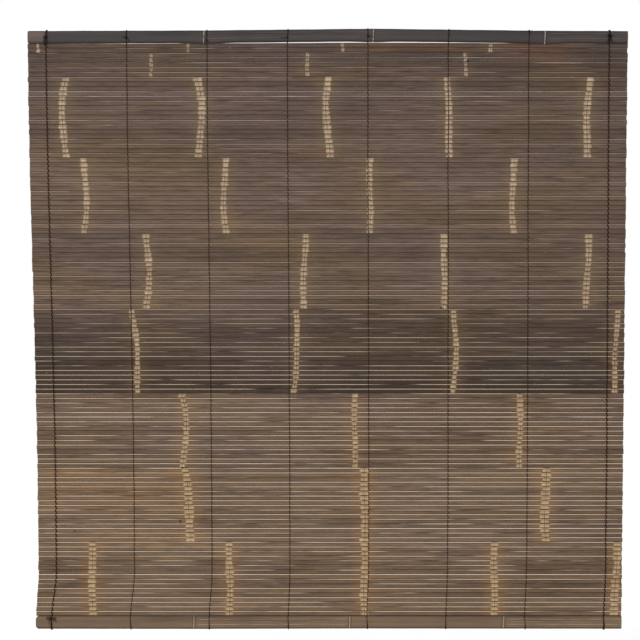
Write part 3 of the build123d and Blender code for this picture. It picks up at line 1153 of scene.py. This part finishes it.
@dataclass
class CulmRail:
    """A rail: a wide strip split from a thick culm, round in front and hollow behind.

    Attributes:
        node: The CAD node that it stands for.
        body: The body that it rides on.
        top: Height of its top edge at the ends.
        height: Its height.
        joints: (place along X, rise above a straight line) of the culm's joints.
        finish: Its material.
        slot: Name of a material slot; not used.
        radius: The culm's outside radius.
        wall: How thick the culm's wall is.
        length: Its length.
        round_left: How much the left end is rounded off.
        joint_drop: How much further down the rail reaches at a joint.
        left_cut: How much shorter than its length the rail is at the left end.
        front_steps: Steps up its front.
        back_steps: Steps down its back.
        ease: How far its front edges are rounded.
    """

    node: str
    body: str
    top: float
    height: float
    joints: tuple[tuple[float, float], ...]
    finish: bpy.types.Material
    slot: str
    radius: float = 45 * MM
    wall: float = 5 * MM
    length: float = 1.2
    round_left: float = 3 * MM
    joint_drop: float = 0.0
    left_cut: float = 0.0
    front_steps: int = 18
    back_steps: int = 8
    ease: float = 0.9 * MM

    def rise(self, x: float) -> float:
        """How far the rail's axis stands above a straight line at x."""
        stations = [(-self.length / 2, 0.0), *self.joints, (self.length / 2, 0.0)]
        for (x0, z0), (x1, z1) in zip(stations, stations[1:]):
            if x <= x1:
                return z0 + (z1 - z0) * (x - x0) / (x1 - x0)
        return 0.0

    def depth(self, offset: float, radius: float) -> float:
        """Y of the culm's surface of that radius, at a height above the rail's axis."""
        middle = math.sqrt((self.radius - self.wall / 2) ** 2 - (self.height / 2) ** 2)
        return middle - math.sqrt(radius**2 - offset**2)

    def front(self, x: float, z: float) -> float:
        """Y of the rail's front at a place on it."""
        axis = self.top - self.height / 2 + self.rise(x)
        half = self.height / 2
        return self.depth(max(-half, min(half, z - axis)), self.radius)

    def swell(self, x: float) -> float:
        """How far the joint's ring stands proud at x: a lip with a groove on its right."""
        proud = 0.0
        for place, _ in self.joints:
            d = (x - place) / MM
            proud += 0.55 * math.exp(-((d / 1.8) ** 2)) + 0.25 * math.exp(-((d / 6.0) ** 2))
            proud -= 0.35 * math.exp(-(((d - 3.2) / 1.1) ** 2))
        return proud * MM

    def stations(self) -> list[float]:
        """Places along X of the sections, closer together at the joints and ends."""
        half = self.length / 2
        first = -half + self.left_cut
        places = {round(-half + k * self.length / 150, 6) for k in range(151)}
        for place, _ in self.joints:
            places |= {round(place + k * 0.8 * MM, 6) for k in range(-10, 11)}
        places |= {round(first + (self.round_left * k / 6), 6) for k in range(7)}
        return sorted(p for p in places if first <= p <= half)

    def section(self, x: float) -> list[tuple[Point, float]]:
        """One section of the rail.

        Args:
            x: Its place along X.

        Returns:
            Each point of the outline and how far up the rail's height it is, -0.5 to 0.5.
        """
        half = self.height / 2
        inset = max(0.0, 1 - (x + self.length / 2 - self.left_cut) / self.round_left)
        half -= self.round_left * 0.8 * (1 - math.sqrt(max(0.0, 1 - inset**2)))
        ragged = 0.10 * math.sin(x * 61 + self.top * 9) + 0.07 * math.sin(x * 143 + 2.0)
        upper, lower = half + ragged * MM, -half + 0.6 * ragged * MM
        for place, _ in self.joints:
            lower -= self.joint_drop * math.exp(-(((x - place) / (34 * MM)) ** 2))
        axis = self.top - self.height / 2 + self.rise(x)
        swell = self.swell(x)
        outline = []
        for k in range(self.front_steps + 1):
            share = k / self.front_steps
            z = lower + (upper - lower) * share
            near = min(z - lower, upper - z)
            rounding = self.ease * (1 - math.sqrt(max(0.0, 1 - max(0.0, 1 - near / self.ease) ** 2)))
            y = self.depth(min(abs(z), self.height / 2), self.radius + swell) + rounding
            outline.append(((x, y, axis + z), share - 0.5))
        for k in range(self.back_steps + 1):
            share = 1 - k / self.back_steps
            z = lower + (upper - lower) * share
            y = self.depth(min(abs(z), self.height / 2), self.radius - self.wall)
            outline.append(((x, y, axis + z), share - 0.5))
        return outline

    def build(self) -> None:
        """Makes the rail."""
        points, faces, across = [], [], []
        stations = self.stations()
        for x in stations:
            outline = self.section(x)
            points += [point for point, _ in outline]
            across += [share for _, share in outline]
        around = len(points) // len(stations)
        for station in range(len(stations) - 1):
            for k in range(around):
                a = station * around + k
                b = station * around + (k + 1) % around
                faces.append((a, b, b + around, a + around))
        faces.append(tuple(range(around))[::-1])
        faces.append(tuple(range(len(points) - around, len(points))))
        mesh = bpy.data.meshes.new(self.node)
        mesh.from_pydata(points, [], faces)
        mesh.shade_smooth()
        mesh.set_sharp_from_angle(angle=math.radians(50))
        store(mesh, "across", np.array(across))
        mesh.materials.append(self.finish)
        piece = linked(f"{self.node}_culm", mesh)
        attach(piece, self.body)
        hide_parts(self.node)
        LOG.info("%s: %d faces", piece.name, len(faces))


class KnotStyle(Enum):
    """How a line's cord is tied off on the head rail."""

    DASH_AND_LOOP = "a flat hitch with a small open loop hanging below the rail"
    FRAYED = "a knot with short frayed tails"
    PLAIN = "a small knot"
    TAIL_LEFT = "a knot with a tail to the left"
    TAIL_RIGHT = "a knot with a tail to the right"
    FAINT = "a tuck that hardly shows"
    TOP_TAILS = "two little tails at the rail's top edge"
    BALL = "a large round knot over two strands that spread downwards"


@dataclass(frozen=True)
class Knot:
    """One knot on the head rail.

    Attributes:
        line: The line of cord, counted from 0 at the left.
        style: How it is tied.
        radius: The knot's radius.
        share: How far down the rail's height it sits, 0 to 1.
    """

    line: int
    style: KnotStyle
    radius: float
    share: float


KNOTS = (
    Knot(0, KnotStyle.DASH_AND_LOOP, 3.0 * MM, 0.50),
    Knot(1, KnotStyle.FRAYED, 3.2 * MM, 0.58),
    Knot(2, KnotStyle.PLAIN, 2.4 * MM, 0.80),
    Knot(3, KnotStyle.TAIL_LEFT, 2.4 * MM, 0.66),
    Knot(4, KnotStyle.TAIL_RIGHT, 2.6 * MM, 0.62),
    Knot(5, KnotStyle.FAINT, 1.3 * MM, 0.55),
    Knot(6, KnotStyle.TOP_TAILS, 1.4 * MM, 0.12),
    Knot(7, KnotStyle.BALL, 4.8 * MM, 0.40),
)


@dataclass
class CordEnds:
    """The cords where they pass round the rails, and how they are tied off.

    Attributes:
        field: The woven field, which gives the lines' places.
        head: The head rail.
        foot: The bottom rail.
        finish: The cords' material.
    """

    field: SlatField
    head: CulmRail
    foot: CulmRail
    finish: bpy.types.Material

    def line_x(self, line: int) -> float:
        """Place along X of a line of cord."""
        return (line - (self.field.lines - 1) / 2) * self.field.spacing

    def strand(self, line: int) -> float:
        """Width of one strand of a line."""
        outer = line in (0, self.field.lines - 1)
        return self.field.strand * (self.field.edge_ratio if outer else 1.0)

    def round_rail(self, mesh: CordMesh, rail: CulmRail, line: int, from_z: float, over: int) -> None:
        """Adds a line's two strands round a rail: one along its front and one along its back.

        Args:
            mesh: What they are added to.
            rail: The rail.
            line: The line of cord.
            from_z: Height of the crossing that they start from.
            over: 1 to pass over the top edge and -1 to pass under the bottom edge.
        """
        x, width = self.line_x(line), self.strand(line)
        r = width * 0.5
        axis = rail.top - rail.height / 2 + rail.rise(x)
        half = rail.height / 2
        near, far = axis - over * half, axis + over * half
        low, high = near + over * half * 0.3, axis + over * half * 0.7
        turn, hook = far + over * r * 0.9, far - over * 2 * MM
        lean = 0.5 * width
        wobble = math.sin(line * 2.4 + over) * 0.8 * MM
        back = rail.depth(half, rail.radius - rail.wall) + r
        near_y, far_y = rail.front(x, near), rail.front(x, far) + 0.2 * MM
        axis_y, high_y = rail.front(x, axis), rail.front(x, high) - r
        front = [
            (x - lean, 0, from_z),
            (x - lean * 0.8, near_y * 0.9 - r, near - over * 0.3 * MM),
            (x - lean * 0.5, rail.front(x, low) - r, low),
            (x + wobble * 0.5, axis_y - r, axis),
            (x + wobble, high_y, high),
            (x + wobble, far_y, turn),
            (x + wobble, back - r, turn),
            (x + wobble, back + 0.2 * MM, hook),
            (x, back, axis + over * half * 0.3),
            (x, back, axis),
        ]
        rear = [
            (x + lean, 0, from_z),
            (x + lean * 0.9, back * 0.9, near - over * 0.3 * MM),
            (x + lean, back + 0.2 * MM, near + over * half * 0.4),
            (x + lean, back, axis),
            (x + lean * 1.3, back + 0.2 * MM, hook),
            (x + lean * 1.4 + wobble, back - r, turn),
            (x + lean * 1.4 + wobble, far_y, turn),
            (x + lean * 1.2 + wobble, high_y, high),
            (x + lean * 0.9 + wobble * 0.5, axis_y - r * 1.1, axis),
        ]
        for route in (front, rear):
            mesh.tube(smooth_path([Vector(point) for point in route], 4), r * 0.92)

    def knot(self, mesh: CordMesh, place: Vector, radius: float, cord: float, turn: float) -> None:
        """Adds an overhand knot.

        Args:
            mesh: What it is added to.
            place: Its middle.
            radius: Its radius.
            cord: Radius of the cord.
            turn: How far it is turned in the rail's plane, in radians.
        """
        size = max(radius - cord, cord) / 3
        steps = 48
        path = []
        for k in range(steps + 1):
            t = 2 * math.pi * k / steps
            across, up = math.sin(t) + 2 * math.sin(2 * t), math.cos(t) - 2 * math.cos(2 * t)
            flat = Vector((across, -0.9 * math.sin(3 * t), up))
            path.append(place + Matrix.Rotation(turn, 3, "Y") @ (flat * size))
        mesh.tube(path, cord)

    def wad(self, mesh: CordMesh, place: Vector, radius: float) -> None:
        """Adds the tight turns of cord that a large knot is tied over, as one round lump.

        Args:
            mesh: What it is added to.
            place: Its middle.
            radius: Its radius.
        """
        steps = 8
        path = [place + Vector((0, 0, radius * (2 * k / steps - 1))) for k in range(steps + 1)]
        mesh.tube(path, radius, lambda share: max(0.12, math.sqrt(max(0.0, 1 - (2 * share - 1) ** 2))))

    def tail(self, mesh: CordMesh, points: list[Vector], cord: float, frays: int = 3) -> None:
        """Adds a loose end that opens into a few fibres.

        Args:
            mesh: What it is added to.
            points: The points that it passes through.
            cord: Radius of the cord.
            frays: How many fibres it opens into.
        """
        path = smooth_path(points, 5)
        mesh.tube(path, cord, lambda share: 1 - 0.45 * share)
        ahead = (path[-1] - path[-4]).normalized()
        for k in range(frays):
            spread = Vector((math.sin(k * 2.1 + 0.4), -0.25, math.cos(k * 2.1 + 0.4))) * 0.55
            tip = path[-1] + (ahead + spread).normalized() * (2.0 + 0.5 * k) * MM
            bend = path[-1] + (tip - path[-1]) * 0.5 + ahead * 0.3 * MM
            mesh.tube(smooth_path([path[-2], bend, tip], 3), cord * 0.3, lambda share: 1 - 0.6 * share)

    def tie_head(self) -> None:
        """Makes the cords round the head rail and their knots."""
        loops, knots = CordMesh(), CordMesh()
        _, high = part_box(slat_nodes()[0])
        start = high.z + (self.field.pitch - self.field.cut_height) / 2
        for line in range(self.field.lines):
            self.round_rail(loops, self.head, line, start, 1)
        for k in KNOTS:
            x, cord = self.line_x(k.line), self.strand(k.line) * 0.42
            z = self.head.top + self.head.rise(x) - k.share * self.head.height
            y = self.head.front(x, z) - 2.1 * cord
            place = Vector((x, y, z))

            def by(dx: float, dz: float, dy: float = 0.0) -> Vector:
                """A point that far from the knot, in millimetres."""
                target = place + Vector((dx, dy, dz)) * MM
                on_rail = self.head.front(x, target.z) - cord + dy * MM
                return Vector((target.x, min(target.y, on_rail), target.z))

            match k.style:
                case KnotStyle.DASH_AND_LOOP:
                    self.wad(knots, place, k.radius * 0.6)
                    self.knot(knots, place, k.radius, cord, 0.9)
                    dash = [by(-4.5, 0.4), by(-1.5, 0.9), by(2.0, 0.2), by(5.0, 0.8)]
                    knots.tube(smooth_path(dash, 4), cord * 1.1)
                    loop = [by(-2.5, 0), by(-3.6, -8), by(-1.8, -15, -1)]
                    loop += [by(1.5, -16, -1), by(3.2, -9), by(1.5, 0)]
                    knots.tube(smooth_path(loop, 5), cord * 0.8)
                case KnotStyle.FRAYED:
                    self.wad(knots, place, k.radius * 0.75)
                    self.knot(knots, place, k.radius, cord, 0.3)
                    self.tail(knots, [by(0, 0), by(-3.5, 2.5), by(-6.5, 1.5)], cord, 4)
                    self.tail(knots, [by(0, 0), by(3.2, -2.5), by(5.4, -5.5)], cord, 4)
                case KnotStyle.PLAIN:
                    self.knot(knots, place, k.radius, cord, 1.1)
                    self.tail(knots, [by(0, 0), by(2.2, -1.5), by(3.6, -3.2)], cord * 0.8, 2)
                case KnotStyle.TAIL_LEFT:
                    self.knot(knots, place, k.radius, cord, 0.7)
                    self.tail(knots, [by(0, 0), by(-4.5, 0.5), by(-9.0, -1.2), by(-12.0, -0.4)], cord, 3)
                case KnotStyle.TAIL_RIGHT:
                    self.wad(knots, place, k.radius * 0.8)
                    self.knot(knots, place, k.radius, cord, 2.0)
                    self.tail(knots, [by(0, 0), by(4.0, 0.8), by(8.0, -0.6), by(11.0, 1.0)], cord, 3)
                case KnotStyle.FAINT:
                    self.knot(knots, place, k.radius, cord, 0.0)
                case KnotStyle.TOP_TAILS:
                    self.knot(knots, place, k.radius, cord, 0.5)
                    self.tail(knots, [by(0, 0), by(2.5, 1.6), by(4.6, 3.4, -0.6)], cord * 0.8, 3)
                    self.tail(knots, [by(0, 0), by(-2.0, 2.4), by(-3.0, 4.4, -0.6)], cord * 0.8, 2)
                case KnotStyle.BALL:
                    self.wad(knots, place, k.radius * 0.85)
                    self.knot(knots, place, k.radius, cord * 1.5, 0.4)
                    self.knot(knots, place - Vector((0, 0.9 * MM, 0)), k.radius * 0.75, cord * 1.5, 1.5)
                    knots.tube(smooth_path([by(0, 0), by(-2.4, -6), by(-4.4, -12.5)], 5), cord)
                    knots.tube(smooth_path([by(0, 0), by(2.4, -6), by(4.2, -12.5)], 5), cord)
        cords = ("edge_cords", "inner_cords_left", "inner_cords_right")
        self.place(loops, "head_cord_loops", "head", cords, "cords")
        self.place(knots, "head_knots_tied", "head", ("head_knots",), "knots")

    def tie_foot(self) -> None:
        """Makes the cords round the bottom rail and the bow on the first of them."""
        loops, bow = CordMesh(), CordMesh()
        low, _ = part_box(slat_nodes()[-1])
        start = low.z - (self.field.pitch - self.field.cut_height) / 2
        for line in range(self.field.lines):
            self.round_rail(loops, self.foot, line, start, -1)
        cord = self.strand(0) * 0.36
        x = self.line_x(0)
        z = self.foot.top - 4 * MM
        place = Vector((x, self.foot.front(x, z) - 2.0 * self.strand(0) * 0.5, z))

        def by(dx: float, dz: float, dy: float = 0.0) -> Vector:
            """A point that far from the bow's knot, in millimetres."""
            return place + Vector((dx, dy, dz)) * MM

        self.knot(bow, by(0, 0, -0.6), 2.8 * MM, cord, 0.2)
        left = [by(-3.5, 2.4, -1.0), by(-8.2, 2.6, -0.6), by(-8.8, -0.8, -0.4), by(-4.2, -1.6, -0.6)]
        right = [by(3.8, 2.0, -1.0), by(8.4, 1.2, -0.6), by(8.6, -1.8, -0.4), by(4.0, -1.8, -0.6)]
        for side in (left, right):
            bow.tube(smooth_path([by(0, 0, -0.6), *side, by(0, -0.4, -0.8)], 6), cord * 0.9)
        left_tail = [by(-3.0, -3.0, -0.4), by(-5.0, -7.4), by(-4.4, -10.4)]
        right_tail = [by(3.4, -2.8, -0.4), by(6.2, -5.8), by(9.2, -6.6)]
        for side in (left_tail, right_tail):
            self.tail(bow, [by(0, 0, -0.8), *side], cord * 0.85, 4)
        cords = ("edge_cords", "inner_cords_left", "inner_cords_right")
        self.place(loops, "bottom_cord_loops", "bottom", cords, "cords")
        self.place(bow, "bottom_bow_tied", "bottom", ("bottom_bow",), "knots")

    def place(self, mesh: CordMesh, name: str, body: str, nodes: tuple[str, ...], slot: str) -> None:
        """Finishes a mesh of cords as a piece.

        Args:
            mesh: The cords.
            name: The piece's name.
            body: The body that it rides on.
            nodes: The CAD nodes that it stands for.
            slot: Name of a material slot; not used.
        """
        piece = mesh.finished(name, self.finish)
        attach(piece, body)
        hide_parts(*nodes)
        LOG.info("%s: %d faces", name, len(mesh.faces))


@dataclass(frozen=True)
class Studio:
    """Floor, light and camera.

    Attributes:
        distance: From the camera to the blind.
        pitch: How far the camera looks down, in degrees.
        width: Width of what it sees at the blind.
        aside: How far the middle of the picture is to the left of the blind's middle.
        above: How far it is above the blind's middle.
        floor_reach: From the floor's middle to its edges.
        floor_drop: From the blind's foot down to the floor.
        sensor: Width of the camera's sensor, in millimetres.
    """

    distance: float = 3.2
    pitch: float = 3.3
    width: float = 1.2935
    aside: float = 0.0155
    above: float = 0.0240
    floor_reach: float = 6.0
    floor_drop: float = 0.5
    sensor: float = 36.0

    def build(self) -> None:
        """Makes the floor, the lights, the surroundings and the camera."""
        scene = bpy.context.scene
        low, high = CAD_BOX
        middle = (low + high) / 2
        far, ground = self.floor_reach, low.z - self.floor_drop
        corners = [(x * far, y * far, ground) for x, y in ((-1, -1), (1, -1), (1, 1), (-1, 1))]
        mesh = bpy.data.meshes.new("floor")
        mesh.from_pydata(corners, [], [(0, 1, 2, 3)])
        floor = linked("floor", mesh)
        s = Shader("floor paint")
        speck = s.noise(s.vector(s.x * 3, s.y * 3, 0.0), 2.0)
        colour = s.mix(speck, (0.86, 0.86, 0.86, 1.0), (0.9, 0.9, 0.9, 1.0))
        paint = s.finish(colour, 0.8, speck, 0.0, Emission_Strength=0.12, Emission_Color=WHITE)
        mesh.materials.append(paint)

        world = bpy.data.worlds.new("studio")
        world.use_nodes = True
        background = world.node_tree.nodes["Background"]
        background.inputs["Color"].default_value = WHITE
        background.inputs["Strength"].default_value = 1.0
        scene.world = world
        scene.view_settings.view_transform = "Standard"
        self.lamp("key", Vector((-1.3, -2.6, 1.3)), middle, 2.0, 26.0)
        self.lamp("fill", Vector((1.8, -2.8, 0.2)), middle, 2.4, 8.0)

        camera = bpy.data.objects.new("camera", bpy.data.cameras.new("camera"))
        scene.collection.objects.link(camera)
        pitch = math.radians(self.pitch)
        target = middle + Vector((-self.aside, 0, self.above))
        target.y = 0.0
        ahead = Vector((0, math.cos(pitch), -math.sin(pitch)))
        camera.location = target - ahead * self.distance
        camera.rotation_euler = (math.pi / 2 - pitch, 0, 0)
        camera.data.sensor_width = self.sensor
        camera.data.lens = self.sensor * self.distance / self.width
        camera.data.clip_end = 100.0
        scene.camera = camera

    def lamp(self, name: str, place: Vector, target: Vector, size: float, power: float) -> None:
        """Adds a soft square lamp.

        Args:
            name: Its name.
            place: Where it is.
            target: What it points at.
            size: Its side.
            power: Its power in watts.
        """
        data = bpy.data.lights.new(name, "AREA")
        data.size = size
        data.energy = power
        lamp = bpy.data.objects.new(name, data)
        lamp.location = place
        lamp.rotation_euler = (target - place).to_track_quat("-Z", "Y").to_euler()
        bpy.context.scene.collection.objects.link(lamp)


def main() -> None:
    """Builds the blind round the CAD frame, then the studio."""
    logging.basicConfig(level=logging.INFO, format="%(name)s: %(message)s")
    cord = TwistedCord().material()
    woven = SlatField()
    woven.build(StainedSlat().material(), cord)

    # Place along X of each rail's joints, and how far the rail rises there
    head_joints = ((-248 * MM, 1.2 * MM), (woven.crest, 4.6 * MM), (434 * MM, 0.6 * MM))
    foot_joints = ((-273 * MM, -0.4 * MM), (45 * MM, 0.5 * MM), (359 * MM, 0.2 * MM))
    head_finish = StainedRail(
        name="head rail stain",
        stain=linear(40, 38, 41),
        light=linear(66, 58, 56),
        line=linear(98, 82, 72),
        joints=tuple(x for x, _ in head_joints),
        grooved=(False, True, False, True),
        left_end=woven.spacing * (woven.lines - 1) / -2 - 2 * MM,
        top_line=0.95,
    )
    foot_finish = StainedRail(
        name="bottom rail stain",
        stain=linear(82, 63, 47),
        light=linear(118, 96, 74),
        line=linear(168, 142, 112),
        joints=tuple(x for x, _ in foot_joints),
        grooved=(False, True, False, True),
    )
    last_slats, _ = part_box(slat_nodes()[-1])
    head = CulmRail(
        node="head_rail",
        body="head",
        top=-0.8 * MM,
        height=24.8 * MM,
        joints=head_joints,
        finish=head_finish.material(),
        slot="head rail",
        joint_drop=1.6 * MM,
    )
    foot = CulmRail(
        node="bottom_rail",
        body="bottom",
        top=last_slats.z - 0.8 * MM,
        height=26.3 * MM,
        joints=foot_joints,
        finish=foot_finish.material(),
        slot="bottom rail",
        round_left=7 * MM,
        left_cut=4.5 * MM,
    )
    head.build()
    foot.build()
    ends = CordEnds(woven, head, foot, cord)
    ends.tie_head()
    ends.tie_foot()
    Studio().build()


if __name__ == "__main__":
    main()
